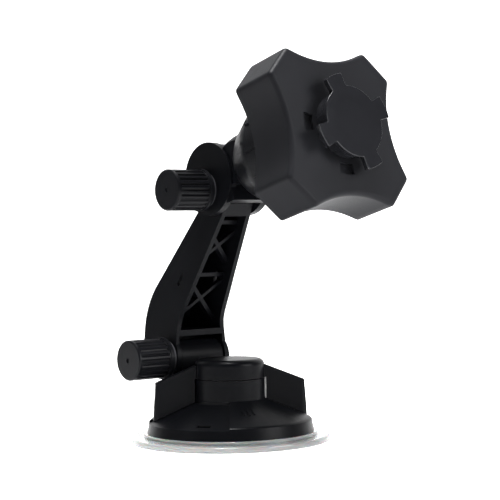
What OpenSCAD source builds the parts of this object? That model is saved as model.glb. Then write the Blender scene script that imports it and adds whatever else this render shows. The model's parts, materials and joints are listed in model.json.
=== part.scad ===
// Suction-cup car phone mount: twist-lock base, ribbed swing arm, tilting bell bracket,
// ball joint with a collar nut, and a four-lobed head that carries a bayonet twist lock.
// Origin: centre of the sticky pad's underside. +Z up, -Y is the side that faces the driver.

/* [Suction base] */
// Radius of the sticky gel pad
gel_r = 40; // [38:0.5:46]
// Thickness of the sticky gel pad
gel_t = 2.2; // [1.8:0.1:3]
// Radius of the clear suction cup
cup_r = 34.8; // [34:0.1:37]
// Thickness of the suction cup at its rim
cup_t = 1.4; // [1:0.1:2]
// Outer radius of the base disc
disc_r = 33.5; // [31:0.5:34]
// Height of the base disc's rim band
rim_h = 4.5; // [3.5:0.1:6]
// Rise of the base disc's cone from rim to hub
cone_rise = 7.7; // [6:0.1:10]
// Wall of the base disc
disc_wall = 2.4; // [2:0.1:3]
// Depth of the two sunk tracks in which the wings travel
track_depth = 1.0; // [0.6:0.1:1.5]

/* [Twist knob] */
// Radius of the hub and of the knob's cap
hub_r = 14; // [13.4:0.1:15]
// Height of the hub's fixed lower half
hub_h = 8.1; // [7.6:0.1:10]
// Height of the knob's cap above the seam
cap_h = 8.5; // [8.2:0.1:11]
// Angle of the knob's right wing from +X
wing_angle = -31.5; // [-40:0.5:-20]
// Turn of the knob from open to locked
twist_travel = 70; // [50:1:70]
// Reach of the wings from the knob's axis
wing_reach = 31.2; // [29:0.1:32]
// Thickness of a wing
wing_t = 5; // [4:0.1:5.5]
// Lift of the stem when the knob is locked
stem_lift = 2.4; // [1.5:0.1:2.6]

/* [Stem] */
// Radius of the pulling stem
stem_r = 3; // [2.6:0.1:3.2]
// Radius of the cross pin through the stem
pin_r = 1.5; // [1.2:0.1:1.6]
// Wire diameter of the return spring
wire_d = 0.9; // [0.7:0.1:1]

/* [Arm] */
// Lower hinge's distance behind the base's centre
lower_y = 24.2; // [23:0.1:26]
// Lower hinge's height
lower_z = 32.6; // [32:0.1:36]
// Upper hinge's height above the lower hinge
arm_rise = 67.5; // [60:0.5:80]
// Upper hinge's distance in front of the lower hinge
arm_lean = 24.2; // [22:0.1:26]
// Width of the arm
arm_w_low = 27; // [26:0.1:29]
// Wall of the arm
arm_wall = 2.0; // [1.6:0.1:2.4]
// Depth of the arm's front frame
frame_depth = 8.5; // [7:0.1:10]
// Thickness of the frame's ribs
rib_t = 1.5; // [1.2:0.1:2]
// Radius of the pedestal's tongue
tongue_r = 7; // [6.2:0.1:7.6]

/* [Clamp knobs] */
// Radius of a clamp knob
knob_r = 8.1; // [7.5:0.1:9]
// Length of a clamp knob
knob_len = 17.4; // [15:0.2:22]
// Number of splines on a clamp knob
spline_count = 24; // [18:1:28]
// Radius of the clamp bolts
bolt_r = 2.5; // [2:0.1:2.8]

/* [Bracket] */
// Upward tilt of the bracket and of the head
tilt = 14.4; // [5:0.1:20]
// Radius of the bracket's round cheeks
cheek_r = 14.5; // [13:0.1:16]
// Thickness of a bracket cheek
cheek_t = 3; // [2.4:0.1:4]
// Forward offset of the cheek's centre from the hinge
cheek_fwd = 2.6; // [1.5:0.1:3.5]
// Upward offset of the cheek's centre from the hinge
cheek_up = 3.9; // [3:0.1:4.5]
// Distance of the ball's centre from the cheek's centre
ball_out = 38.6; // [36:0.2:44]
// Drop of the ball's axis below the cheek's centre
ball_drop = 0.6; // [0:0.1:1.5]
// Radius of the ball
ball_r = 10.5; // [9.5:0.1:11]
// Outer radius of the collar nut
collar_r = 21.6; // [20.5:0.1:23]
// Length of the collar nut
collar_len = 9.4; // [9:0.1:10]

/* [Head] */
// Half height and half width of the four-lobed head
head_half = 30.4; // [30:0.2:36]
// Half width of the head across a lobe's corner
lobe_half = 19.4; // [18:0.2:22]
// Depth of the head
head_depth = 20.2; // [17:0.1:22]
// Hollow of each side between two lobes
side_dip = 4.5; // [3:0.1:6]
// Rounding of the lobes' corners
lobe_round = 3.5; // [2:0.1:4.5]
// Wall of the head's shell
head_wall = 2.4; // [2:0.1:3]
// Radius of the twist lock's disc
lock_r = 13.6; // [13:0.1:16]
// Reach of the twist lock's tabs
lock_tab_r = 18.4; // [17.5:0.1:20]
// Height of the twist lock above the head's face
lock_h = 7.2; // [4.5:0.1:8]
// Turn of the twist lock's tabs
lock_turn = 20; // [10:1:30]

/* [Fits] */
// Radial clearance of a running fit
run_gap = 0.1; // [0.05:0.01:0.1]
// Gap between parts that pass or face each other
free_gap = 0.3; // [0.2:0.05:0.4]
// Clearance around screws and inserts
screw_gap = 0.15; // [0.1:0.05:0.2]

/* [Hidden] */
$fn = 96;

black = [0.07, 0.07, 0.075];
charcoal = [0.12, 0.12, 0.13];
steel = [0.7, 0.71, 0.73];
clear_gel = [0.86, 0.9, 0.88, 0.6];
acetal = [0.88, 0.87, 0.83];

eps = 0.01;
far = 200;

// Base heights
disc_z = gel_t + cup_t;
rim_z = disc_z + rim_h;
rim_bevel = 0.8;
rim_draft = 0.8;
rim_r = disc_r - rim_draft;
cone_z = rim_z + rim_bevel;
hub_z = cone_z + cone_rise;
seam_z = hub_z + hub_h;
cap_z = seam_z + cap_h;
cone_slope = cone_rise / (rim_r - rim_bevel - hub_r);
hub_wall = 2.4;
hub_bore = hub_r - hub_wall;
floor_t = 2;
floor_z = hub_z - 0.4;

// Twist mechanism
guide_r = stem_r + 2.2;
pin_z = floor_z + 5;
pin_half = 9;
ramp_low = pin_z - pin_r - free_gap;
ramp_in = guide_r + 0.4;
cam_wall = 1.6;
cam_out = hub_bore - free_gap;
cam_in = cam_out - cam_wall;
cam_foot = floor_z + 0.5;
cam_steps = 16;
cam_margin = 20;
cam_lid = 2;
cap_wall = 2.2;
cap_roof = cap_z - cap_wall;
cap_round = 3;
cam_screw_r = 1.2;
cam_screw_at = 8;
stem_top = pin_z + 4.2;
flange_r = 7;
flange_t = 1.6;
flange_z = disc_z + 0.8;
boss_r = 10;
boss_top = flange_z + flange_t + 1;
washer_t = 0.8;
spring_r = stem_r + 1.6;
spring_low = boss_top + washer_t;
spring_high = floor_z - floor_t;
spring_turns = 3;
track_in = hub_r + 0.4;

// Wing outline
wing_gap = 0.5;
wing_root = 13;
wing_in_z = seam_z + 4.9;
wing_out_z = seam_z - 1.1;
wing_draft = 1.2;

// Arm
upper_y = lower_y - arm_lean;
upper_z = lower_z + arm_rise;
lobe_r = 9.3;
lobe_back = 1.6;
heel_y = lower_y + 16.1;
heel_z = lower_z + 4.6;
front_y = lower_y - 5.9;
plate_z = lower_z + 8.8;
plate_t = 2.4;
bend_z = lower_z + 13.4;
bay_top = upper_z - 10.5;
top_r = 9.2;
top_half = 7.1;
cheek_out = top_half + free_gap * 2 + cheek_t;
lug_wall = 2;
lower_half = arm_w_low / 2;
ear_in = lower_half - lug_wall - 0.35;
friction_t = 0.6;
tongue_half = ear_in - friction_t;
washer_r = 6.4;

// Clamp bolts and knobs
head_r = 4.2;
head_t = 2.6;
ring_t = 1.6;
ring_r = knob_r - 1;
nut_r = 4;
nut_t = 6;
knob_bore = bolt_r + screw_gap;
dimple_r = 1;

// Bracket
bowl_root = 15;
dome_r = 14.2;
dome_at = 16;
dir_y = -cos(tilt);
dir_z = sin(tilt);
cheek_y = upper_y + cheek_fwd * dir_y + cheek_up * sin(tilt);
cheek_z = upper_z + cheek_fwd * dir_z + cheek_up * cos(tilt);
ball_y = cheek_y + ball_out * dir_y - ball_drop * sin(tilt);
ball_z = cheek_z + ball_out * dir_z - ball_drop * cos(tilt);
spigot_r = collar_r - 2.5;
collar_back = -2.1;
inner_shell_t = 1.3;
inner_r = ball_r + run_gap;
inner_out = inner_r + inner_shell_t;
outer_r = inner_out + run_gap;
outer_out = outer_r + inner_shell_t;
pocket_r = outer_out + run_gap;
liner_angle = 26;
seat_r = 6.4;
lip_r = 9;

// Head
rear_t = 9.5;
face_t = rear_t + head_depth;
recess_r = 27;
recess_d = 6;
plate_at = rear_t + recess_d;
back_plate_t = 2.6;
stud_r = 5;
stud_flange_r = 9;
stud_flange_t = 3;
face_wall = 2.6;
screw_ring = 24.3;
lock_dish_r = 11.6;
lock_dish_d = 0.5;
slot_depth = 1.2;
magnet_r = lock_r - 7;
magnet_t = 3;

// ---------- shared shapes ----------

module side_solid(width) {
    rotate([90, 0, 90]) linear_extrude(width, center = true) children();
}

module in_lower() {
    translate([0, lower_y, lower_z]) children();
}

module in_upper() {
    translate([0, upper_y, upper_z]) children();
}

// Local +Z points out along the bracket, local +Y points up its face
module in_bracket() {
    translate([0, cheek_y, cheek_z]) rotate([90 - tilt, 0, 0]) children();
}

module in_ball() {
    translate([0, ball_y, ball_z]) rotate([90 - tilt, 0, 0]) children();
}

module rod_x(x0, x1, radius) {
    translate([x0, 0, 0]) rotate([0, 90, 0]) cylinder(r = radius, h = x1 - x0);
}

module ring(inner, outer, height) {
    difference() {
        cylinder(r = outer, h = height);
        translate([0, 0, -1]) cylinder(r = inner, h = height + 2);
    }
}

// ---------- suction base ----------

module gel_pad() {
    lip = 0.5;
    color(clear_gel) rotate_extrude()
        polygon([[0, 0], [gel_r, 0], [gel_r, gel_t - lip], [gel_r - lip, gel_t], [0, gel_t]]);
}

module suction_cup() {
    color(clear_gel) rotate_extrude() difference() {
        union() {
            translate([0, gel_t]) square([cup_r, cup_t]);
            translate([0, gel_t]) square([boss_r, boss_top - gel_t]);
        }
        translate([0, flange_z - free_gap])
            square([flange_r + free_gap, flange_t + free_gap * 2]);
        square([stem_r + free_gap, boss_top + 1]);
        translate([boss_r + 3, gel_t - eps]) square([12, 0.4]);
    }
}

module disc_outer_2d() {
    polygon([
        [0, disc_z], [disc_r, disc_z], [rim_r, rim_z], [rim_r - rim_bevel, cone_z],
        [hub_r, hub_z], [hub_r, seam_z], [0, seam_z]
    ]);
}

module disc_inner_2d() {
    polygon([
        [0, disc_z - 1], [disc_r - disc_wall, disc_z - 1], [rim_r - disc_wall, rim_z - disc_wall],
        [hub_r, hub_z - disc_wall - floor_t * 0.5], [hub_bore, floor_z - floor_t],
        [0, floor_z - floor_t]
    ]);
}

function cone_top(r) = cone_z + (rim_r - rim_bevel - r) * cone_slope;

module disc_track_2d() {
    edge_r = rim_r - rim_bevel;
    polygon([
        [track_in, cone_top(track_in) - track_depth], [track_in, hub_z + 1],
        [disc_r + 1, hub_z + 1], [disc_r + 1, cone_top(disc_r + 1) - track_depth]
    ]);
}

// Plan of one sunk track: the wing's own width at each end of its travel and all between
module track_plan_2d() {
    half_w = wing_t / 2 + free_gap;
    reach = disc_r + 5;
    swept = twist_travel + asin(half_w / hub_r);
    translate([0, -half_w]) square([reach, 2 * half_w]);
    polygon([[0, 0], for (i = [0:6]) 1.1 * reach * [cos(swept * i / 6), sin(swept * i / 6)]]);
}

module disc_tracks() {
    intersection() {
        rotate_extrude() disc_track_2d();
        for (half = [0, 180]) rotate(wing_angle + half) linear_extrude(far) track_plan_2d();
    }
}

module base_disc() {
    rim_boss = 3.2;
    color(black) difference() {
        union() {
            difference() {
                rotate_extrude() disc_outer_2d();
                rotate_extrude() disc_inner_2d();
                translate([0, 0, floor_z]) cylinder(r = hub_bore, h = far);
            }
            translate([0, 0, floor_z - floor_t]) cylinder(r = guide_r, h = stem_top - 2 - floor_z + floor_t);
            for (side = [-1, 1])
                translate([side * pedestal_screw_x, pedestal_screw_y, screw_seat])
                    cylinder(r = rim_boss, h = cone_z + 0.4 - screw_seat);
        }
        disc_tracks();
        translate([0, 0, -1]) cylinder(r = stem_r + run_gap, h = far);
        rotate(wing_angle + 90) translate([-guide_r - 0.5, -pin_r - run_gap, pin_z - pin_r - 0.4])
            cube([2 * guide_r + 1, 2 * (pin_r + run_gap), far]);
        for (side = [-1, 1])
            translate([side * pedestal_screw_x, pedestal_screw_y, -1])
                cylinder(r = screw_shank + screw_gap, h = far);
        release_notch();
    }
}

release_angle = wing_angle + 180 + 62;
release_at = rim_r - 4.6;

module release_notch() {
    rotate(release_angle)
        translate([release_at + 0.6, -2.8, cone_z - track_depth - 0.6]) cube([1.8, 5.6, 3]);
}

// ---------- pedestal ----------

screw_shank = 1.25;
screw_head = 2.3;
screw_head_t = 1.4;
pedestal_screw_x = 6.2;
pedestal_screw_y = lower_y + 1.2;
pedestal_front = lower_y - tongue_r;
pedestal_back = lower_y + tongue_r;
pedestal_floor = cone_z + 1.2;
screw_seat = disc_z + 2.2;

module pedestal() {
    color(black) difference() {
        union() {
            in_lower() rod_x(-tongue_half, tongue_half, tongue_r);
            translate([-tongue_half, pedestal_front, pedestal_floor])
                cube([2 * tongue_half, pedestal_back - pedestal_front, lower_z - pedestal_floor]);
        }
        rotate_extrude() disc_outer_2d();
        in_lower() rod_x(-far, far, bolt_r + run_gap);
        for (side = [-1, 1])
            translate([side * pedestal_screw_x, pedestal_screw_y, 0])
                cylinder(r = screw_shank + screw_gap, h = pedestal_floor + 9 + screw_gap);
        for (side = [-1, 1]) in_lower()
            translate([side * (tongue_half - 0.3), 0, 0]) rod_x(-0.3, 0.3 + eps, washer_r + 0.2);
    }
}

module pedestal_screws() {
    color(steel) for (side = [-1, 1])
        translate([side * pedestal_screw_x, pedestal_screw_y, 0]) {
            translate([0, 0, screw_seat - screw_head_t]) cylinder(r = screw_head, h = screw_head_t);
            translate([0, 0, screw_seat - eps]) cylinder(r = screw_shank, h = pedestal_floor + 9 -
                screw_seat);
        }
}

// ---------- stem and spring ----------

module stem() {
    color(acetal) difference() {
        union() {
            translate([0, 0, flange_z]) cylinder(r = flange_r, h = flange_t);
            translate([0, 0, flange_z]) cylinder(r = stem_r, h = stem_top - flange_z);
        }
        rotate(wing_angle + 90) translate([0, 0, pin_z]) rod_x(-far, far, pin_r);
    }
}

module stem_pin() {
    color(steel) rotate(wing_angle + 90) translate([0, 0, pin_z]) rod_x(-pin_half, pin_half, pin_r);
}

module spring_washer() {
    color(steel) translate([0, 0, boss_top]) ring(stem_r + run_gap, spring_r + 1.4, washer_t);
}

// Coil: a ring of eight points at each step round the helix
module stem_spring() {
    sides = 8;
    per_turn = 20;
    rings = spring_turns * per_turn;
    wire_r = wire_d / 2;
    rise = spring_high - spring_low - wire_d - 0.04;
    points = [
        for (i = [0:rings], j = [0:sides - 1])
            let(a = 360 * i / per_turn, b = 360 * j / sides, r = spring_r + wire_r * cos(b))
                [r * cos(a), r * sin(a), spring_low + wire_r + 0.02 + rise * i / rings + wire_r * sin(b)]
    ];
    skin = [
        for (i = [0:rings - 1], j = [0:sides - 1])
            let(k = (j + 1) % sides)
                [i * sides + j, i * sides + k, (i + 1) * sides + k, (i + 1) * sides + j]
    ];
    first = [for (j = [sides - 1:-1:0]) j];
    last = [for (j = [0:sides - 1]) rings * sides + j];
    color(steel) polyhedron(points = points, faces = concat([first], skin, [last]));
}

// ---------- twist knob ----------

module wing_2d() {
    foot_in = hub_r + wing_gap;
    polygon([
        [wing_root, seam_z + free_gap], [foot_in, seam_z + free_gap],
        [foot_in, cone_top(foot_in) - track_depth + free_gap],
        [wing_reach, cone_top(wing_reach) - track_depth + free_gap],
        [wing_reach - wing_draft, wing_out_z], [wing_root, wing_in_z + 0.9]
    ]);
}

module wing_plan_2d() {
    translate([0, -wing_t / 2]) square([wing_reach - wing_t / 2, wing_t]);
    translate([wing_reach - wing_t / 2, 0]) circle(r = wing_t / 2);
    shoulder = 4.4;
    translate([hub_r - 3, -shoulder]) square([2.6, 2 * shoulder]);
}

module wing() {
    intersection() {
        rotate([90, 0, 0]) linear_extrude(far, center = true) wing_2d();
        translate([0, 0, -1]) linear_extrude(far) wing_plan_2d();
    }
}

module cap_2d() {
    low = seam_z + free_gap;
    dome = 0.5;
    polygon([
        [0, low], [hub_r, low], [hub_r, cap_z - cap_round],
        for (i = [1:8])
            [hub_r - cap_round * (1 - cos(11.25 * i)), cap_z - cap_round + (cap_round - dome) *
                sin(11.25 * i)],
        [0, cap_z]
    ]);
}

module twist_knob() {
    color(black) difference() {
        union() {
            rotate_extrude() cap_2d();
            for (half = [0, 180]) rotate(wing_angle + half) wing();
        }
        translate([0, 0, 0]) cylinder(r = hub_bore, h = cap_roof);
        for (half = [0, 180]) rotate(wing_angle + 90 + half)
            translate([cam_screw_at, 0, 0]) cylinder(r = cam_screw_r, h = cap_roof + 1.4);
    }
}

module wedge(from, to, top) {
    rotate(to) translate([0, 0, cam_foot - 1]) linear_extrude(top - cam_foot + 1)
        polygon([[0, 0], [hub_r, 0], hub_r * [cos(from - to), sin(from - to)]]);
}

// One rising track: a low rest, even steps, then a high rest
module cam_track() {
    step = twist_travel / cam_steps;
    lap = 0.6;
    wedge(cam_margin, 0, ramp_low);
    for (i = [0:cam_steps - 1])
        wedge(lap - i * step, -(i + 1) * step, ramp_low + stem_lift * (i + 0.5) / cam_steps);
    wedge(lap - twist_travel, -twist_travel - cam_margin, ramp_low + stem_lift);
}

module cam_ring() {
    color(acetal) difference() {
        union() {
            rotate_extrude() polygon([
                [cam_in, cam_foot], [cam_out, cam_foot], [cam_out, cap_roof], [0, cap_roof],
                [0, cap_roof - cam_lid], [cam_in, cap_roof - cam_lid]
            ]);
            intersection() {
                translate([0, 0, cam_foot]) ring(ramp_in, cam_in + 0.4, cap_roof - cam_foot - 4);
                for (half = [0, 180]) rotate(wing_angle + 90 + half) cam_track();
            }
        }
        for (half = [0, 180]) rotate(wing_angle + 90 + half)
            translate([cam_screw_at, 0, cap_roof - cam_lid - 1])
                cylinder(r = cam_screw_r + screw_gap, h = cam_lid + 2);
    }
}

module cam_screws() {
    color(steel) for (half = [0, 180]) rotate(wing_angle + 90 + half) translate([cam_screw_at, 0, 0]) {
        translate([0, 0, cap_roof - cam_lid - 0.9]) cylinder(r = 1.6, h = 0.9);
        translate([0, 0, cap_roof - cam_lid - eps]) cylinder(r = cam_screw_r, h = cam_lid + 1.2);
    }
}

// ---------- arm ----------

// Side outline of the arm: a vertical heel, one bend, a straight back and a straight front
back_bend_r = 28;
back_turn = atan((arm_lean - 1.0) / (arm_rise - 39.5));
front_knee_z = bend_z + 1.5;

module arm_side_2d() {
    polygon([
        [front_y, lower_z + 4], [front_y, front_knee_z - 3], [front_y - 0.4, front_knee_z],
        [front_y - 1.6, front_knee_z + 3],
        [upper_y - top_r + 0.6, upper_z - 5.5], [upper_y, upper_z - 1],
        [upper_y + 7.2, upper_z - 5.8],
        for (i = [8:-1:0])
            [heel_y - back_bend_r * (1 - cos(back_turn * i / 8)), bend_z - 2 + back_bend_r *
                sin(back_turn * i / 8)],
        [heel_y, heel_z], [heel_y - 2.2, heel_z - 4.4], [lower_y + lobe_back + lobe_r * 0.9, lower_z -
            lobe_r * 0.436],
        [lower_y, lower_z]
    ]);
}

// Front outline: straight sides that taper to the top
module arm_front_solid(inset = 0) {
    low = lower_half - inset;
    top = top_half - inset;
    rotate([90, 0, 0]) linear_extrude(far * 2, center = true) polygon([
        [-low, lower_z - lobe_r * 2], [low, lower_z - lobe_r * 2], [low, lower_z],
        [top, upper_z - 8], [top, upper_z + top_r + 5], [-top, upper_z + top_r + 5],
        [-top, upper_z - 8], [-low, lower_z]
    ]);
}

module arm_body() {
    intersection() {
        union() {
            side_solid(far) arm_side_2d();
            in_lower() translate([0, lobe_back, 0]) rod_x(-lower_half - 1, lower_half + 1, lobe_r);
            in_upper() rod_x(-lower_half, lower_half, top_r);
        }
        arm_front_solid();
    }
}

// The channel, open at the front
module channel_2d() {
    intersection() {
        union() for (k = [0:4:28])
            translate([-k, 0]) offset(delta = -arm_wall) arm_side_2d();
        translate([-far / 2, plate_z + plate_t]) square([far, bay_top - plate_z - plate_t]);
    }
}

// Band along the front edge that the front frame fills
module front_band_2d() {
    intersection() {
        translate([-far / 2, plate_z - 0.01]) square([far, bay_top + 4 - plate_z]);
        union() for (k = [0:4:28])
            translate([frame_depth - 8 - k, 0]) polygon([
                [front_y, lower_z + 4], [front_y, front_knee_z - 3], [front_y - 0.4, front_knee_z],
                [front_y - 1.6, front_knee_z + 3], [upper_y - top_r + 0.6, upper_z - 5.5],
                [upper_y - top_r + 8.6, upper_z - 5.5], [front_y + 6.4, front_knee_z + 3],
                [front_y + 7.6, front_knee_z], [front_y + 8, front_knee_z - 3], [front_y + 8, lower_z + 4]
            ]);
    }
}

module arm_shell() {
    color(black) difference() {
        arm_body();
        intersection() {
            side_solid(far) channel_2d();
            arm_front_solid(arm_wall);
        }
        side_solid(far) front_band_2d();
        lower_slot();
        in_lower() rod_x(-far, far, bolt_r + run_gap);
        in_upper() rod_x(-far, far, bolt_r + run_gap);
        in_lower() rod_x(lower_half - 1.6, far, head_r + screw_gap);
        latch_slots();
    }
}

// Room between the ears for the pedestal's tongue
module lower_slot() {
    intersection() {
        translate([-ear_in, -far / 2, -far]) cube([2 * ear_in, far, far + plate_z]);
        union() {
            in_lower() rod_x(-far, far, tongue_r + 1.7);
            translate([-far, lower_y - far, lower_z - far]) cube([2 * far, 2 * far, far]);
            translate([-far, lower_y - far, lower_z - eps]) cube([2 * far, far + 6, plate_z - lower_z +
                eps]);
        }
    }
}

module arm_frame() {
    end_plate = 4;
    color(black) {
        intersection() {
            side_solid(far) intersection() {
                arm_side_2d();
                front_band_2d();
            }
            union() {
                side_rails(0);
                intersection() {
                    arm_front_solid();
                    union() {
                        translate([-far / 2, -far / 2, plate_z]) cube([far, far, plate_t]);
                        translate([-far / 2, -far / 2, bay_top]) cube([far, far, end_plate]);
                        ribs();
                    }
                }
            }
        }
    }
}

module side_rails(inset) {
    difference() {
        arm_front_solid(inset);
        arm_front_solid(arm_wall + inset);
    }
}

// Cross ribs and two X braces, set back from the front edge
module ribs() {
    intersection() {
        side_solid(far) rib_band_2d();
        rotate([90, 0, 0]) linear_extrude(far * 2, center = true) {
            for (z = [rib_low, rib_high]) translate([-far / 2, z - rib_t / 2]) square([far, rib_t]);
            brace_2d(brace_low, 13.5);
            brace_2d(brace_high, 13.5);
        }
    }
}

rib_low = lower_z + 33.6;
rib_high = lower_z + 54.7;
brace_low = lower_z + 24.0;
brace_high = lower_z + 45.4;

module rib_band_2d() {
    translate([4.8, 0]) polygon([
        [front_y, lower_z + 4], [front_y, front_knee_z - 3], [front_y - 1.6, front_knee_z + 3],
        [upper_y - top_r + 0.6, upper_z - 5.5], [upper_y - top_r + 3.2, upper_z - 5.5],
        [front_y + 1.2, front_knee_z + 3], [front_y + 2.6, front_knee_z - 3], [front_y + 2.6, lower_z + 4]
    ]);
}

module brace_2d(z, height) {
    half_w = 11;
    for (side = [-1, 1])
        translate([0, z]) rotate(side * atan(height / (2 * half_w) * 1.4))
            translate([-15, -rib_t / 2]) square([30, rib_t]);
}

function frame_face(z) = front_y - 1.6
    + (z - front_knee_z - 3) * (upper_y - top_r + 0.6 - front_y + 1.6) / (upper_z - 5.5 - front_knee_z - 3);

module latch_slots() {
    slot_z = lower_z + 32;
    for (side = [-1, 1])
        translate([side * 11, frame_face(slot_z) + frame_depth + 1.0, slot_z])
            rotate([29, 0, 0]) cube([8, 1.6, 6], center = true);
}

// ---------- clamp hardware: the same set at both hinges ----------

module clamp_bolt(far_face, near_tip) {
    difference() {
        union() {
            rod_x(near_tip, far_face + eps, bolt_r);
            rod_x(far_face, far_face + head_t, head_r);
        }
        translate([far_face + head_t - 1.4, 0, 0]) rotate([0, 90, 0]) cylinder(r = 2, h = 2, $fn = 6);
    }
}

module friction_washers(inner_face) {
    for (side = [-1, 1]) mirror([side < 0 ? 1 : 0, 0, 0])
        translate([inner_face, 0, 0]) rotate([0, 90, 0]) ring(bolt_r + run_gap, washer_r, friction_t);
}

module knob_washer(outer_face) {
    translate([-outer_face - ring_t, 0, 0]) rotate([0, 90, 0]) ring(bolt_r + run_gap, ring_r, ring_t);
}

module clamp_knob(inner_end) {
    spline = 0.75;
    collar = 1.6;
    difference() {
        translate([-inner_end - knob_len, 0, 0]) rotate([0, 90, 0]) {
            difference() {
                union() {
                    translate([0, 0, 0.5]) cylinder(r = knob_r, h = knob_len - 0.5);
                    cylinder(r1 = knob_r - 0.5, r2 = knob_r, h = 0.5);
                    translate([0, 0, knob_len - collar]) cylinder(r = knob_r + 0.35, h = collar);
                }
                for (i = [0:spline_count - 1]) rotate(360 / spline_count * i)
                    translate([knob_r + 0.15, 0, 1.4]) cylinder(r = spline, h = knob_len - collar - 2,
                        $fn = 8);
                translate([0, 0, -1]) cylinder(r = dimple_r, h = 1.5);
            }
        }
        rod_x(-inner_end - knob_len + 5, -inner_end + 1, knob_bore);
        translate([-inner_end - nut_t, 0, 0]) rotate([0, 90, 0]) cylinder(r = nut_r, h = nut_t + 1, $fn = 6);
    }
}

module clamp_nut(inner_end) {
    translate([-inner_end - nut_t, 0, 0]) rotate([0, 90, 0]) difference() {
        cylinder(r = nut_r, h = nut_t, $fn = 6);
        translate([0, 0, -1]) cylinder(r = bolt_r + run_gap, h = nut_t + 2);
    }
}

lower_face = lower_half;
lower_knob_end = lower_face + ring_t + 0.2;
upper_face = cheek_out;
upper_knob_end = upper_face + ring_t + 0.2;

module lower_bolt() { color(steel) in_lower() clamp_bolt(lower_half - 1.6, -lower_knob_end - 11); }
module lower_friction_washers() { color(steel) in_lower() friction_washers(tongue_half); }
module lower_knob_washer() { color(steel) in_lower() knob_washer(lower_face); }
module lower_knob() { color(charcoal) in_lower() clamp_knob(lower_knob_end); }
module lower_knob_nut() { color(steel) in_lower() clamp_nut(lower_knob_end); }

module upper_bolt() { color(steel) in_upper() clamp_bolt(cheek_out - 1.4, -upper_knob_end - 11); }
module upper_friction_washers() { color(steel) in_upper() friction_washers(top_half); }
module upper_knob_washer() { color(steel) in_upper() knob_washer(upper_face); }
module upper_knob() { color(charcoal) in_upper() clamp_knob(upper_knob_end); }
module upper_knob_nut() { color(steel) in_upper() clamp_nut(upper_knob_end); }

// ---------- bracket ----------

// Round-bottomed pocket for the ball, open towards the head
module socket_pocket() {
    rotate_extrude() {
        intersection() {
            circle(r = pocket_r);
            translate([0, -pocket_r - 1]) square([pocket_r + 1, pocket_r + 1 + eps]);
        }
        square([pocket_r, 30]);
    }
}

// Bowl that opens from the cheeks to the collar's rim
module bowl_2d() {
    rim = collar_r - 0.9;
    rim_s = ball_out + collar_back - 0.03;
    polygon([
        [0, bowl_root - 3], [6, bowl_root - 3], [7.6, bowl_root - 1.2], [10.3, bowl_root + 1.5],
        [13.7, bowl_root + 5.5], [16.9, bowl_root + 10.5], [19.3, bowl_root + 16], [rim, rim_s - 2.4],
        [rim, rim_s], [0, rim_s]
    ]);
}

module bracket() {
    block_half = cheek_out - 1;
    block_low = 12.2;
    block_front = 12.5;
    fork_in = top_half + friction_t;
    color(black) difference() {
        union() {
            for (side = [-1, 1]) in_bracket() rotate([0, 90, 0])
                translate([0, 0, side * (cheek_out - cheek_t / 2) - cheek_t / 2]) cylinder(r = cheek_r,
                    h = cheek_t);
            in_bracket() rotate([0, 90, 0]) translate([0, 0, -block_half]) cylinder(r = cheek_r - 0.5, h
                = 2 * block_half);
            in_bracket() translate([-block_half, -block_low, 0]) cube([2 * block_half, block_low + 4,
                block_front]);
            in_bracket() intersection() {
                translate([0, 0, dome_at]) sphere(r = dome_r);
                translate([-block_half, -6, 0]) cube([2 * block_half, 30, dome_at + 8]);
            }
            in_bracket() translate([0, -ball_drop, 0]) rotate_extrude() bowl_2d();
            in_ball() translate([0, 0, collar_back - 0.2]) cylinder(r = spigot_r, h = 4.6);
        }
        in_ball() socket_pocket();
        bracket_slot(fork_in);
        in_upper() rod_x(-far, far, bolt_r + run_gap);
        in_upper() rod_x(cheek_out - 1.4, far, head_r + screw_gap);
    }
}

// Room for the arm's top between the cheeks, over the whole tilt
module bracket_slot(half) {
    clear_r = top_r + 1.3;
    slot_half = clear_r - 0.6;
    intersection() {
        translate([-half, -far, 0]) cube([2 * half, 2 * far, far]);
        union() {
            in_upper() rod_x(-far, far, clear_r);
            in_upper() for (a = [-20, 20, 60, 85])
                rotate([a, 0, 0]) translate([-far, -slot_half, -40]) cube([2 * far, 2 * slot_half, 40]);
        }
    }
}

// ---------- ball joint ----------

module liner(inner, outer) {
    rotate_extrude() difference() {
        polygon([
            [0, 0], for (i = [-6:6]) 40 * [cos(liner_angle * i / 6), sin(liner_angle * i / 6)]
        ]);
        circle(r = inner);
        difference() {
            square(200, center = true);
            circle(r = outer);
        }
        translate([-100, -100]) square([100, 200]);
    }
}

module liner_inner() { color(acetal) in_ball() liner(inner_r, inner_out); }
module liner_outer() { color(acetal) in_ball() liner(outer_r, outer_out); }

module rear_seat() {
    color(acetal) in_ball() difference() {
        intersection() {
            sphere(r = pocket_r - 0.05);
            translate([0, 0, -pocket_r]) cylinder(r = seat_r, h = pocket_r - ball_r + 2.2);
        }
        sphere(r = ball_r + run_gap);
    }
}

module collar_nut() {
    rib_n = 12;
    bevel = 0.8;
    color(black) in_ball() difference() {
        union() {
            translate([0, 0, collar_back]) rotate_extrude() polygon([
                [0, 0], [collar_r - bevel, 0], [collar_r, bevel], [collar_r, collar_len - 2 * bevel],
                [collar_r - 2 * bevel, collar_len], [0, collar_len]
            ]);
            for (i = [0:rib_n - 1]) rotate(360 / rib_n * i)
                translate([collar_r - 1, -0.9, collar_back + bevel]) cube([1.7, 1.8, collar_len - 3 *
                    bevel]);
        }
        translate([0, 0, collar_back - 1]) cylinder(r = spigot_r + run_gap, h = 5.8);
        rotate_extrude() {
            intersection() {
                circle(r = pocket_r);
                translate([0, -eps]) square([pocket_r + 1, pocket_r + 1]);
            }
            translate([0, -far]) square([pocket_r, far]);
        }
        translate([0, 0, 5]) cylinder(r1 = lip_r + 0.6, r2 = lip_r + 0.2, h = far);
    }
}

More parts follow.
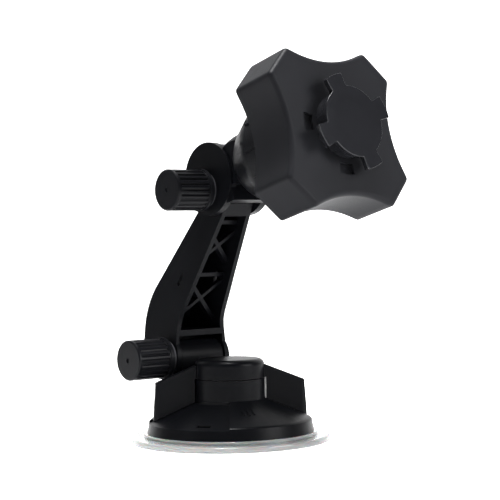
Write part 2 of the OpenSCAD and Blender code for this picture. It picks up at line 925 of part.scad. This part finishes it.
module ball_stud() {
    color(steel) in_ball() difference() {
        union() {
            sphere(r = ball_r);
            cylinder(r = stud_r, h = plate_at - stud_flange_t + 0.5);
            translate([0, 0, plate_at - stud_flange_t]) cylinder(r = stud_flange_r, h = stud_flange_t);
        }
        translate([0, 0, plate_at - 12]) cylinder(r = screw_shank + screw_gap, h = 20);
        translate([0, 0, -ball_r]) cylinder(r = 3, h = 3.4);
    }
}

module stud_screw() {
    color(steel) in_ball() {
        translate([0, 0, plate_at - 11]) cylinder(r = screw_shank, h = 11 + back_plate_t + eps);
        translate([0, 0, plate_at + back_plate_t]) cylinder(r = screw_head, h = screw_head_t);
    }
}

// ---------- head ----------

// Quarter symmetric outline with four flat-ended lobes and hollow sides
module head_2d(inset = 0) {
    half = head_half - inset;
    lobe = lobe_half - inset * 0.4;
    dip = side_dip;
    chord = 2 * lobe;
    arc_r = (chord * chord / 4 + dip * dip) / (2 * dip);
    difference() {
        offset(r = lobe_round) offset(delta = -lobe_round) polygon([
            [lobe, half], [half, lobe], [half, -lobe], [lobe, -half],
            [-lobe, -half], [-half, -lobe], [-half, lobe], [-lobe, half]
        ]);
        for (q = [0:3]) rotate(90 * q) translate([0, half - dip + arc_r]) circle(r = arc_r, $fn = 180);
    }
}

module head_shell() {
    color(charcoal) in_ball() difference() {
        translate([0, 0, rear_t]) linear_extrude(head_depth, $fn = 40) head_2d();
        difference() {
            translate([0, 0, rear_t - 1]) linear_extrude(head_depth + 1 - face_wall, $fn = 40)
                head_2d(head_wall);
            for (q = [0:3]) rotate(45 + 90 * q) translate([screw_ring + 4.4, 0, plate_at + back_plate_t])
                cylinder(r = 3, h = far);
        }
        for (q = [0:3]) rotate(45 + 90 * q) translate([screw_ring + 4.4, 0, plate_at + back_plate_t - 1])
            cylinder(r = screw_shank, h = 8);
        for (q = [0:3]) rotate(90 * q + 45 + lock_turn - 30) translate([lock_r - 4.4, 0, rear_t + 2])
            cylinder(r = screw_shank + screw_gap, h = far);
        lock_slots();
    }
}

// Sunk pockets beside the lock's tabs, from which the lock was turned home
module lock_slots() {
    for (q = [0:3]) rotate(90 * q + 90 + lock_turn - 37) rotate_extrude(angle = 23)
        translate([lock_r + 0.5, face_t - slot_depth]) square([lock_tab_r - lock_r - 0.7, slot_depth + 1]);
}

module back_plate() {
    color(black) in_ball() difference() {
        union() {
            translate([0, 0, plate_at]) linear_extrude(back_plate_t, $fn = 40) head_2d(head_wall + free_gap);
            difference() {
                translate([0, 0, rear_t + 0.6]) linear_extrude(recess_d, $fn = 40) head_2d(head_wall +
                    free_gap);
                translate([0, 0, rear_t]) cylinder(r = recess_r - 1.4, h = recess_d + 1);
            }
        }
        translate([0, 0, rear_t - 1]) cylinder(r = screw_shank + screw_gap, h = far);
        for (q = [0:3]) rotate(45 + 90 * q) translate([screw_ring + 4.4, 0, rear_t - 1]) {
            cylinder(r = screw_shank + screw_gap, h = far);
            cylinder(r = screw_head + screw_gap, h = recess_d + 1);
        }
    }
}

module back_screws() {
    color(steel) in_ball() for (q = [0:3]) rotate(45 + 90 * q) translate([screw_ring + 4.4, 0, 0]) {
        translate([0, 0, plate_at - screw_head_t]) cylinder(r = screw_head, h = screw_head_t);
        translate([0, 0, plate_at - eps]) cylinder(r = screw_shank, h = back_plate_t + 6);
    }
}

module lock_tab_2d() {
    tab = 30;
    intersection() {
        circle(r = lock_tab_r);
        polygon([[0, 0], 40 * [cos(90 - tab / 2), sin(90 - tab / 2)], 40 * [cos(90 + tab / 2), sin(90 +
            tab / 2)]]);
    }
}

module twist_lock() {
    tab_t = 2;
    color(black) in_ball() translate([0, 0, face_t]) rotate(lock_turn) difference() {
        union() {
            cylinder(r = lock_r - 1.2, h = lock_h - tab_t);
            translate([0, 0, lock_h - tab_t - 0.6]) rotate_extrude() polygon([
                [0, 0], [lock_r - 0.5, 0], [lock_r, 0.5], [lock_r, tab_t + 0.3], [lock_r - 0.3, tab_t + 0.6],
                    [0, tab_t + 0.6]
            ]);
            translate([0, 0, lock_h - tab_t]) for (q = [0:3]) rotate(90 * q)
                linear_extrude(tab_t - 0.1) lock_tab_2d();
        }
        translate([0, 0, lock_h - lock_dish_d]) cylinder(r1 = lock_dish_r - 2.5, r2 = lock_dish_r, h =
            lock_dish_d + eps);
        translate([0, 0, -1]) cylinder(r = magnet_r + screw_gap, h = magnet_t + 1);
        for (q = [0:3]) rotate(90 * q + 45 - 30) translate([lock_r - 4.4, 0, -1]) cylinder(r =
            screw_shank, h = 3.4);
    }
}

module lock_magnet() {
    color(steel) in_ball() translate([0, 0, face_t]) cylinder(r = magnet_r, h = magnet_t - screw_gap);
}

module lock_screws() {
    color(steel) in_ball() for (q = [0:3]) rotate(90 * q + 45 + lock_turn - 30) translate([lock_r - 4.4,
        0, 0]) {
        translate([0, 0, face_t - face_wall - screw_head_t]) cylinder(r = screw_head, h = screw_head_t);
        translate([0, 0, face_t - face_wall - eps]) cylinder(r = screw_shank, h = face_wall + 2);
    }
}

gel_pad();
suction_cup();
base_disc();
pedestal();
pedestal_screws();
stem_spring();
stem();
stem_pin();
spring_washer();
twist_knob();
cam_ring();
cam_screws();
arm_shell();
arm_frame();
lower_bolt();
lower_friction_washers();
lower_knob_washer();
lower_knob();
lower_knob_nut();
upper_bolt();
upper_friction_washers();
upper_knob_washer();
upper_knob();
upper_knob_nut();
bracket();
rear_seat();
liner_inner();
liner_outer();
collar_nut();
ball_stud();
back_plate();
back_screws();
head_shell();
stud_screw();
twist_lock();
lock_screws();
lock_magnet();
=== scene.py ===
import json
import math

import bpy
from mathutils import Matrix, Vector


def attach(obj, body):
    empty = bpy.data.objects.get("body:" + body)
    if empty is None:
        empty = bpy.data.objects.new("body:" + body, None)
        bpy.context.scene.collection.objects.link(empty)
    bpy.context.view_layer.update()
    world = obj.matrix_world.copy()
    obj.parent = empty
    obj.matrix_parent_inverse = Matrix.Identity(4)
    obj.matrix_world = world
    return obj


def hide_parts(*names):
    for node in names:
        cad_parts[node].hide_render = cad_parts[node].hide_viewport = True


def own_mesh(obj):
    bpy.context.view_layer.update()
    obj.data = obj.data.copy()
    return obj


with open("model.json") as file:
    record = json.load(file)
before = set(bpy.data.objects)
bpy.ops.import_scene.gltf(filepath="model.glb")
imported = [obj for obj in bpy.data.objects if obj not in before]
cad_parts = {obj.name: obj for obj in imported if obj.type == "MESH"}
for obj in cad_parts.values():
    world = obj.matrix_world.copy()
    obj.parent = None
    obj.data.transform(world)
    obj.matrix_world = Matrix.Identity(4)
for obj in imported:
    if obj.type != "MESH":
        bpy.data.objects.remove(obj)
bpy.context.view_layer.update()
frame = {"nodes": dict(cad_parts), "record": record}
nodes = frame["nodes"]
bodyOf = {node: body for body, members in frame["record"]["behaviour"]["bodies"].items() for node in members}
slotOf = {entry["node"]: entry["material_slot"] for entry in frame["record"]["subparts"]}
mm = 0.001
mergeGap = 0.002 * mm

# where the head's axis runs: out of the ball, up the face, and across
joints = {joint["name"]: joint for joint in frame["record"]["behaviour"]["joints"]}
ballCentre = Vector(joints["ball_roll"]["pos_m"])
headOut = Vector(joints["ball_roll"]["axis"])
headUp = Vector(joints["ball_pan"]["axis"])
headAcross = Vector((1, 0, 0))


# tools used by every piece

def deselectAll():
    for item in list(bpy.context.selected_objects):
        item.select_set(False)


def focus(item):
    deselectAll()
    item.select_set(True)
    bpy.context.view_layer.objects.active = item


def editing(item, kind="EDGE"):
    focus(item)
    bpy.ops.object.mode_set(mode="EDIT")
    bpy.ops.mesh.select_mode(type=kind)


def doneEditing():
    bpy.ops.object.mode_set(mode="OBJECT")


def pickNone(item):
    for group in (item.data.polygons, item.data.edges, item.data.vertices):
        for part in group:
            part.select = False


def pickEdges(item, test):
    pickNone(item)
    verts = item.data.vertices
    for edge in item.data.edges:
        edge.select = test(verts[edge.vertices[0]].co, verts[edge.vertices[1]].co)


def pickFaces(item, test):
    pickNone(item)
    for face in item.data.polygons:
        face.select = test(face.center, face.normal)


def addModifier(item, kind, **settings):
    focus(item)
    modifier = item.modifiers.new(kind.lower(), kind)
    for key, value in settings.items():
        setattr(modifier, key, value)
    bpy.ops.object.modifier_apply(modifier=modifier.name)


def placeInMesh(item):
    focus(item)
    bpy.ops.object.transform_apply(location=True, rotation=True, scale=True)


def alongHead(point):
    return (point - ballCentre).dot(headOut)


def headPlace(across, up, out):
    return ballCentre + headAcross * across + headUp * up + headOut * out


def ownCopy(nodeName, pieceName, flatAngle=1.0):
    # a merged copy of a CAD node, its flat faces joined again
    copy = bpy.data.objects.new(pieceName, nodes[nodeName].data.copy())
    copy.data.name = pieceName
    copy.data.materials.clear()
    bpy.context.scene.collection.objects.link(copy)
    editing(copy, "VERT")
    bpy.ops.mesh.select_all(action="SELECT")
    bpy.ops.mesh.remove_doubles(threshold=mergeGap)
    bpy.ops.mesh.dissolve_limited(angle_limit=math.radians(flatAngle))
    doneEditing()
    return copy


def softEdges(item, width, segments=2, angle=32):
    addModifier(item, "BEVEL", width=width, segments=segments, limit_method="ANGLE",
                angle_limit=math.radians(angle), use_clamp_overlap=True, loop_slide=True)


def smoothed(item, angle=34):
    focus(item)
    bpy.ops.object.shade_smooth_by_angle(angle=math.radians(angle))
    addModifier(item, "WEIGHTED_NORMAL", keep_sharp=True, weight=60)


def finishPiece(item, body, material, slotName, *replaced):
    item.data.materials.clear()
    item.data.materials.append(material)
    for face in item.data.polygons:
        face.material_index = 0
    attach(item, body)
    if replaced:
        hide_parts(*replaced)


# shader maths

class Signal:
    def __init__(self, tree, socket):
        self.tree = tree
        self.socket = socket

    def math(self, operation, other, swapped=False):
        pair = (other, self) if swapped else (self, other)
        return makeNode(self.tree, "ShaderNodeMath", {"operation": operation}, {0: pair[0], 1: pair[1]})

    def __add__(self, other): return self.math("ADD", other)
    def __radd__(self, other): return self.math("ADD", other, True)
    def __sub__(self, other): return self.math("SUBTRACT", other)
    def __rsub__(self, other): return self.math("SUBTRACT", other, True)
    def __mul__(self, other): return self.math("MULTIPLY", other)
    def __rmul__(self, other): return self.math("MULTIPLY", other, True)


def makeNode(tree, kind, settings, inputs, output=0):
    node = tree.nodes.new(kind)
    for key, value in settings.items():
        if key == "stops":
            ramp = node.color_ramp
            ramp.elements[0].position, ramp.elements[0].color = value[0]
            ramp.elements[1].position, ramp.elements[1].color = value[-1]
            for position, colour in value[1:-1]:
                ramp.elements.new(position).color = colour
        else:
            setattr(node, key, value)
    for key, value in inputs.items():
        if isinstance(value, Signal):
            tree.links.new(value.socket, node.inputs[key])
        else:
            node.inputs[key].default_value = value
    return Signal(tree, node.outputs[output])


def newMaterial(name):
    material = bpy.data.materials.new(name)
    material.use_nodes = True
    tree = material.node_tree
    tree.nodes.clear()
    place = makeNode(tree, "ShaderNodeTexCoord", {}, {}, "Object")
    return material, tree, place


def shader(tree, fixed, varying):
    surface = tree.nodes.new("ShaderNodeBsdfPrincipled")
    for key, value in fixed.items():
        surface.inputs[key].default_value = value
    for key, value in varying.items():
        tree.links.new(value.socket, surface.inputs[key])
    end = tree.nodes.new("ShaderNodeOutputMaterial")
    tree.links.new(surface.outputs[0], end.inputs["Surface"])


def mixColour(tree, factor, low, high):
    # sockets 6 and 7 of a colour Mix are its two colours
    return makeNode(tree, "ShaderNodeMix", {"data_type": "RGBA"}, {0: factor, 6: low, 7: high}, 2)


def noise(tree, place, scale, detail=3.0, rough=0.5):
    return makeNode(tree, "ShaderNodeTexNoise", {}, {"Vector": place, "Scale": scale, "Detail": detail,
                                                     "Roughness": rough}, "Fac")


def bump(tree, height, strength, distance):
    return makeNode(tree, "ShaderNodeBump", {},
                    {"Height": height, "Strength": strength, "Distance": distance})


# moulded plastic: a fine etched grain, faint cloudiness and a few handling scuffs
def mouldedPlastic(name, colour, gloss, grain=0.25, grainSize=3200, coat=0.0, scuff=0.06, shine=0.10):
    material, tree, place = newMaterial(name)
    cloud = noise(tree, place, 46, 4, 0.55)
    etch = noise(tree, place, grainSize, 2, 0.6)
    rubbed = makeNode(tree, "ShaderNodeValToRGB", {"stops": [(0.55, (0, 0, 0, 1)), (0.78, (1, 1, 1, 1))]},
                      {"Fac": noise(tree, place, 150, 5, 0.62)}, "Color")
    darker = tuple(part * 0.86 for part in colour) + (1,)
    lighter = tuple(part * 1.14 for part in colour) + (1,)
    tint = mixColour(tree, cloud, darker, lighter)
    worn = mixColour(tree, rubbed * scuff, tint, tuple(part * 1.6 + 0.004 for part in colour) + (1,))
    roughness = gloss + (cloud - 0.5) * 0.10 + (etch - 0.5) * 0.10 + rubbed * 0.04
    shader(tree, {"Coat Roughness": 0.08, "Coat IOR": 1.5, "IOR": 1.47, "Coat Weight": coat,
                  "Specular IOR Level": shine},
           {"Base Color": worn, "Roughness": roughness, "Normal": bump(tree, etch, grain, 0.00006)})
    return material


# clear gel: milky, a little cloudy inside, with fine dust specks in its roughness all over
def clearSoft(name, colour, roughness, transmission):
    material, tree, place = newMaterial(name)
    cloud = noise(tree, place, 60, 5, 0.6)
    speck = noise(tree, place, 900, 3, 0.5)
    tint = mixColour(tree, cloud, tuple(part * 0.93 for part in colour) + (1,), colour + (1,))
    shader(tree, {"Transmission Weight": transmission, "IOR": 1.42, "Subsurface Weight": 0.25,
                  "Subsurface Scale": 0.004, "Coat Weight": 0.4, "Coat Roughness": 0.1},
           {"Base Color": tint, "Roughness": roughness + (speck - 0.5) * 0.12,
            "Normal": bump(tree, cloud, 0.12, 0.0002)})
    return material


# turned or plated metal: fine lines round the part, slightly uneven plating
def workedMetal(name, colour, roughness, lineScale=1400):
    material, tree, place = newMaterial(name)
    lines = makeNode(tree, "ShaderNodeTexWave", {"wave_type": "RINGS", "rings_direction": "X"},
                     {"Vector": place, "Scale": lineScale, "Distortion": 2.5, "Detail": 2.0}, "Fac")
    cloud = noise(tree, place, 180, 4, 0.6)
    tint = mixColour(tree, cloud, tuple(part * 0.88 for part in colour) + (1,), colour + (1,))
    shader(tree, {"Metallic": 1.0},
           {"Base Color": tint, "Roughness": roughness + (cloud - 0.5) * 0.16 + (lines - 0.5) * 0.05,
            "Normal": bump(tree, lines, 0.08, 0.00003)})
    return material


# the collar's grip: a fine diamond of raised dots
def gripPlastic(name, colour, gloss):
    material, tree, place = newMaterial(name)
    dots = makeNode(tree, "ShaderNodeTexVoronoi", {"feature": "F1"},
                    {"Vector": place, "Scale": 900.0, "Randomness": 0.15}, "Distance")
    cloud = noise(tree, place, 60, 4, 0.5)
    tint = mixColour(tree, cloud, tuple(part * 0.85 for part in colour) + (1,),
                     tuple(part * 1.15 for part in colour) + (1,))
    shader(tree, {"IOR": 1.47, "Specular IOR Level": 0.10},
           {"Base Color": tint, "Roughness": gloss + (cloud - 0.5) * 0.12,
            "Normal": bump(tree, 1 - dots, 0.35, 0.00015)})
    return material


finish = {
    "body_plastic": mouldedPlastic("bodyPlastic", (0.0040, 0.0043, 0.0056), 0.34),
    "head_plastic": mouldedPlastic("headPlastic", (0.0135, 0.0138, 0.0160), 0.46, 0.4),
    "knob_plastic": mouldedPlastic("knobPlastic", (0.0062, 0.0065, 0.0080), 0.36, 0.12, 2600, 0.06),
    "lock_gloss": mouldedPlastic("lockGloss", (0.0135, 0.0138, 0.0160), 0.17, 0.02, 1500, 0.35, 0.02),
    "gel": clearSoft("clearGel", (0.47, 0.49, 0.49), 0.22, 0.45),
    "clear_cup": clearSoft("clearCup", (0.74, 0.76, 0.76), 0.12, 0.70),
    "acetal": mouldedPlastic("acetal", (0.78, 0.76, 0.71), 0.38, 0.06, 1800, 0.0, 0.06, 0.5),
    "steel": workedMetal("platedSteel", (0.62, 0.63, 0.65), 0.32),
    "spring_steel": workedMetal("springSteel", (0.5, 0.51, 0.53), 0.28, 900),
    "washer": mouldedPlastic("fibreWasher", (0.05, 0.05, 0.055), 0.6, 0.5, 900),
    "ball_metal": workedMetal("darkBall", (0.16, 0.16, 0.17), 0.3, 700),
    "magnet": workedMetal("magnetPlate", (0.6, 0.61, 0.63), 0.24, 1000),
}
grip = gripPlastic("collarGrip", (0.0062, 0.0065, 0.0080), 0.46)
print("materials made:", len(finish) + 1)

for nodeName, node in nodes.items():
    node.data.materials.clear()
    node.data.materials.append(finish[slotOf[nodeName]])


def softenAll(edges, material=None):
    # each listed node gets a copy with its edges rounded
    for nodeName, (pieceName, width, segments, angle) in edges.items():
        piece = ownCopy(nodeName, pieceName)
        softEdges(piece, width * mm, segments, angle)
        smoothed(piece)
        slotName = slotOf[nodeName]
        finishPiece(piece, bodyOf[nodeName], material or finish[slotName], slotName, nodeName)


# suction base
# node: piece, edge width in mm, segments, least edge angle
baseEdges = {
    "gel_pad": ("gelPad", 0.5, 3, 30),
    "suction_cup": ("suctionCup", 0.3, 2, 30),
    "base_disc": ("baseDisc", 0.35, 3, 24),
    "twist_knob": ("twistKnob", 0.4, 3, 26),
    "pedestal": ("pedestalBlock", 0.4, 2, 30),
}
softenAll(baseEdges)

# the return coil: a smoothed copy of the CAD spring, riding with the base
coil = ownCopy("stem_spring", "stemSpring")
coilHeights = [vertex.co.z for vertex in coil.data.vertices]
liftRange = joints["stem_lift"]["range_m"][1]
smoothed(coil)
finishPiece(coil, "base", finish[slotOf["stem_spring"]], slotOf["stem_spring"], "stem_spring")
1 - liftRange / (max(coilHeights) - min(coilHeights))
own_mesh(coil)

# the cone's surface in mm, and three plain raised bars on it
cone = {"foot": 8.9, "footRadius": 31.9, "slope": 0.430}
baseMark = {"radius": 22.3, "angle": -111.0, "bars": [(-2.1, 3.4), (0.0, 4.4), (2.1, 3.4)], "width": 0.8,
            "proud": 0.3, "edge": 0.12}


def onCone(forward, sideways, lift):
    # a point on the cone, measured from the mark's middle along the slope and across it
    angle = math.radians(baseMark["angle"])
    outward = Vector((math.cos(angle), math.sin(angle), 0))
    across = Vector((-math.sin(angle), math.cos(angle), 0))
    flat = outward * (baseMark["radius"] + forward) + across * sideways
    height = cone["foot"] + (cone["footRadius"] - flat.length) * cone["slope"]
    return (flat + Vector((0, 0, height + lift))) * mm


def markBar(name, sideways, length):
    deselectAll()
    bpy.ops.mesh.primitive_cube_add(size=2)
    bar = bpy.context.object
    bar.name = name
    for vertex in bar.data.vertices:
        vertex.co = onCone(vertex.co.x * length / 2, sideways + vertex.co.y * baseMark["width"] / 2,
                           baseMark["proud"] if vertex.co.z > 0 else -baseMark["proud"])
    softEdges(bar, baseMark["edge"] * mm, 2, 30)
    smoothed(bar)
    finishPiece(bar, "base", finish["body_plastic"], "body_plastic")


for number, (sideways, length) in enumerate(baseMark["bars"]):
    markBar("baseMarkBar" + str(number), sideways, length)
print("base pieces made")

# arm

armEdges = {"arm_shell": ("armShell", 0.45, 3, 26), "arm_frame": ("armFrame", 0.3, 2, 26)}
softenAll(armEdges)
print("arm pieces made")

# knobs

knobEdges = {"lower_knob": ("lowerKnob", 0.2, 2, 30), "upper_knob": ("upperKnob", 0.2, 2, 30)}
softenAll(knobEdges)
print("knobs made")

# bracket and collar

bracketEdges = {"bracket": ("tiltBracket", 0.5, 3, 30)}
collarEdges = {"collar_nut": ("collarNut", 0.3, 2, 30)}
softenAll(bracketEdges)
softenAll(collarEdges, grip)
print("bracket and collar made")

# head

head = {"half": 30.4, "lobe": 19.4, "dip": 4.5, "wall": 2.4, "faceWall": 2.6, "sharpness": 44.0,
        "points": 288, "hollowPoints": 144, "faceRound": 1.9 * mm, "faceSegments": 6}
pocket = {"inner": 14.1, "outer": 18.2, "depth": 1.2, "first": 73.0, "sweep": 23.0, "steps": 10}
lock = {"radius": 13.6, "reach": 18.4, "height": 7.2, "plate": 2.0, "turn": 20.0, "tab": 15.0, "soften": 1.6,
        "skirt": 12.4, "skirtInPlate": 0.8, "rim": 0.3, "dish": 0.45, "dishWall": 1.9, "dishFloor": 0.8,
        "edge": 0.25, "points": 360, "roundPoints": 120}
shellReach = [alongHead(vertex.co) for vertex in nodes["head_shell"].data.vertices]
headRear, headFace = min(shellReach), max(shellReach)


def headRadius(angle, inset=0.0):
    # the eight-sided block's radius, hollowed on four sides, its corners blended
    half, lobe = head["half"] - inset, head["lobe"] - 0.4 * inset
    arc = (lobe * lobe + head["dip"] ** 2) / (2 * head["dip"])
    reach = []
    for corner in range(4):
        fromCorner = angle - math.radians(45 + 90 * corner)
        if math.cos(fromCorner) > 0.05:
            reach.append((half + lobe) / math.sqrt(2) / math.cos(fromCorner))
        fromSide = angle - math.radians(90 * corner)
        away = half - head["dip"] + arc
        inside = arc * arc - (away * math.sin(fromSide)) ** 2
        if math.cos(fromSide) > 0 and inside > 0:
            reach.append(away * math.cos(fromSide) - math.sqrt(inside))
    return sum(value ** -head["sharpness"] for value in reach) ** (-1 / head["sharpness"])


def shapedDisc(name, count, rear, front, radiusAt):
    # a round bar along the head's axis, shaped to any outline
    deselectAll()
    bpy.ops.mesh.primitive_cylinder_add(vertices=count, radius=1, depth=2, end_fill_type="NGON")
    disc = bpy.context.object
    disc.name = name
    for vertex in disc.data.vertices:
        angle = math.atan2(vertex.co.y, vertex.co.x)
        radius = radiusAt(angle) * mm
        out = front if vertex.co.z > 0 else rear
        vertex.co = headPlace(radius * math.cos(angle), radius * math.sin(angle), out)
    placeInMesh(disc)
    return disc


def cut(item, tool, operation="DIFFERENCE"):
    addModifier(item, "BOOLEAN", object=tool, operation=operation, solver="EXACT")
    bpy.data.objects.remove(tool)


def pocketTool(index):
    deselectAll()
    bpy.ops.mesh.primitive_grid_add(x_subdivisions=pocket["steps"], y_subdivisions=1, size=2)
    tool = bpy.context.object
    for vertex in tool.data.vertices:
        along, across = (vertex.co.x + 1) / 2, (vertex.co.y + 1) / 2
        angle = math.radians(pocket["first"] + 90 * index + pocket["sweep"] * along)
        radius = (pocket["inner"] + (pocket["outer"] - pocket["inner"]) * across) * mm
        vertex.co = headPlace(radius * math.cos(angle), radius * math.sin(angle), headFace)
    addModifier(tool, "SOLIDIFY", thickness=2 * pocket["depth"] * mm, offset=0.0)
    return tool


def makeHead():
    shell = shapedDisc("headShell", head["points"], headRear, headFace, headRadius)
    pickEdges(shell, lambda a, b: all(headFace - alongHead(point) < 0.01 * mm for point in (a, b)))
    editing(shell)
    bpy.ops.mesh.bevel(offset=head["faceRound"], segments=head["faceSegments"], affect="EDGES",
                       clamp_overlap=False)
    doneEditing()
    hollow = shapedDisc("headHollow", head["hollowPoints"], headRear - 1 * mm,
                        headFace - head["faceWall"] * mm, lambda angle: headRadius(angle, head["wall"]))
    cut(shell, hollow)
    for index in range(4):
        cut(shell, pocketTool(index))
    smoothed(shell, 36)
    finishPiece(shell, "head", finish["head_plastic"], "head_plastic", "head_shell")


def lockRadius(angle):
    # the disc, with a soft-cornered tab every quarter turn
    fromTab = (math.degrees(angle) - 90 - lock["turn"] + 45) % 90 - 45
    rise = min(1.0, max(0.0, (lock["tab"] + lock["soften"] - abs(fromTab)) / (2 * lock["soften"])))
    return lock["radius"] + (lock["reach"] - lock["radius"]) * rise * rise * (3 - 2 * rise)


def makeLock():
    top = headFace + lock["height"] * mm
    plate = shapedDisc("twistLock", lock["points"], top - lock["plate"] * mm, top, lockRadius)
    pickFaces(plate, lambda centre, normal: normal.dot(headOut) > 0.99)
    editing(plate, "FACE")
    bpy.ops.mesh.inset(thickness=lock["rim"] * mm, depth=0)
    doneEditing()
    skirt = shapedDisc("lockSkirt", lock["roundPoints"], headFace, top - lock["skirtInPlate"] * mm,
                       lambda angle: lock["skirt"])
    cut(plate, skirt, "UNION")
    dish = shapedDisc("lockDish", lock["roundPoints"], top - lock["dish"] * mm, top + 1 * mm,
                      lambda angle: lock["radius"] - lock["dishWall"])
    for vertex in dish.data.vertices:
        if alongHead(vertex.co) < top:
            middle = headPlace(0, 0, alongHead(vertex.co))
            vertex.co = middle + (vertex.co - middle) * lock["dishFloor"]
    cut(plate, dish)
    softEdges(plate, lock["edge"] * mm, 3, 50)
    smoothed(plate, 40)
    finishPiece(plate, "head", finish["lock_gloss"], "lock_gloss", "twist_lock")


makeHead()
makeLock()
softenAll({"back_plate": ("backPlate", 0.3, 2, 30)})
print("head made")

# floor, lights and camera

studio = {"floorSize": 8.0, "pale": (0.94, 0.94, 0.94), "floorGlow": 0.55, "wallGlow": 1.1,
          "wallAway": 2.4, "wallTurn": -40.0, "worldStrength": 0.10, "gamma": 0.87}


def pale(name, glow):
    material, tree, place = newMaterial(name)
    cloud = noise(tree, place, 3, 2, 0.5)
    shader(tree, {"Roughness": 0.7, "Emission Color": (1, 1, 1, 1), "Emission Strength": glow},
           {"Base Color": mixColour(tree, cloud, tuple(0.985 * part for part in studio["pale"]) + (1,),
                                    studio["pale"] + (1,))})
    return material


def paleSheet(name, glow, place, turn):
    deselectAll()
    bpy.ops.mesh.primitive_plane_add(size=studio["floorSize"], location=place, rotation=turn)
    sheet = bpy.context.object
    sheet.name = name
    placeInMesh(sheet)
    sheet.data.materials.append(pale(name + "Paint", glow))


wallTurn = math.radians(studio["wallTurn"])
paleSheet("studioFloor", studio["floorGlow"], (0, 0, -0.0002), (0, 0, 0))
paleSheet("studioWall", studio["wallGlow"],
          (-math.sin(wallTurn) * studio["wallAway"], math.cos(wallTurn) * studio["wallAway"], 0),
          (math.radians(90), 0, wallTurn))

world = bpy.data.worlds.new("studioWorld")
world.use_nodes = True
world.node_tree.nodes["Background"].inputs["Color"].default_value = (1, 1, 1, 1)
world.node_tree.nodes["Background"].inputs["Strength"].default_value = studio["worldStrength"]
bpy.context.scene.world = world
bpy.context.scene.view_settings.view_transform = "Standard"
bpy.context.scene.view_settings.gamma = studio["gamma"]


def softLight(name, place, aim, size, power):
    data = bpy.data.lights.new(name, "AREA")
    data.shape = "RECTANGLE"
    data.size, data.size_y = size
    data.energy = power
    lamp = bpy.data.objects.new(name, data)
    bpy.context.scene.collection.objects.link(lamp)
    lamp.location = place
    lamp.rotation_mode = "QUATERNION"
    lamp.rotation_quaternion = (Vector(aim) - Vector(place)).to_track_quat("-Z", "Y")


lights = [
    ("topLight", (-0.05, -0.05, 0.75), (0, 0, 0.05), (0.28, 0.28), 13.0),
    ("leftLight", (-0.75, 0.15, 0.45), (0, 0, 0.08), (0.35, 0.7), 1.0),
    ("frontLight", (0.35, -0.85, 0.35), (0, 0, 0.09), (0.5, 0.5), 8.5),
]
for light in lights:
    softLight(*light)

view = {"place": (-0.3803, -0.4674, 0.0813), "azimuth": -40.0, "elevation": -0.504, "roll": -1.103,
        "lens": 108.0, "sensor": 36.0}
cameraData = bpy.data.cameras.new("camera")
cameraData.lens = view["lens"]
cameraData.sensor_width = view["sensor"]
cameraData.clip_start = 0.01
camera = bpy.data.objects.new("camera", cameraData)
bpy.context.scene.collection.objects.link(camera)
camera.matrix_world = (Matrix.Translation(view["place"])
                       @ Matrix.Rotation(math.radians(view["azimuth"]), 4, "Z")
                       @ Matrix.Rotation(math.radians(90 + view["elevation"]), 4, "X")
                       @ Matrix.Rotation(math.radians(view["roll"]), 4, "Z"))
bpy.context.scene.camera = camera
print("studio set")
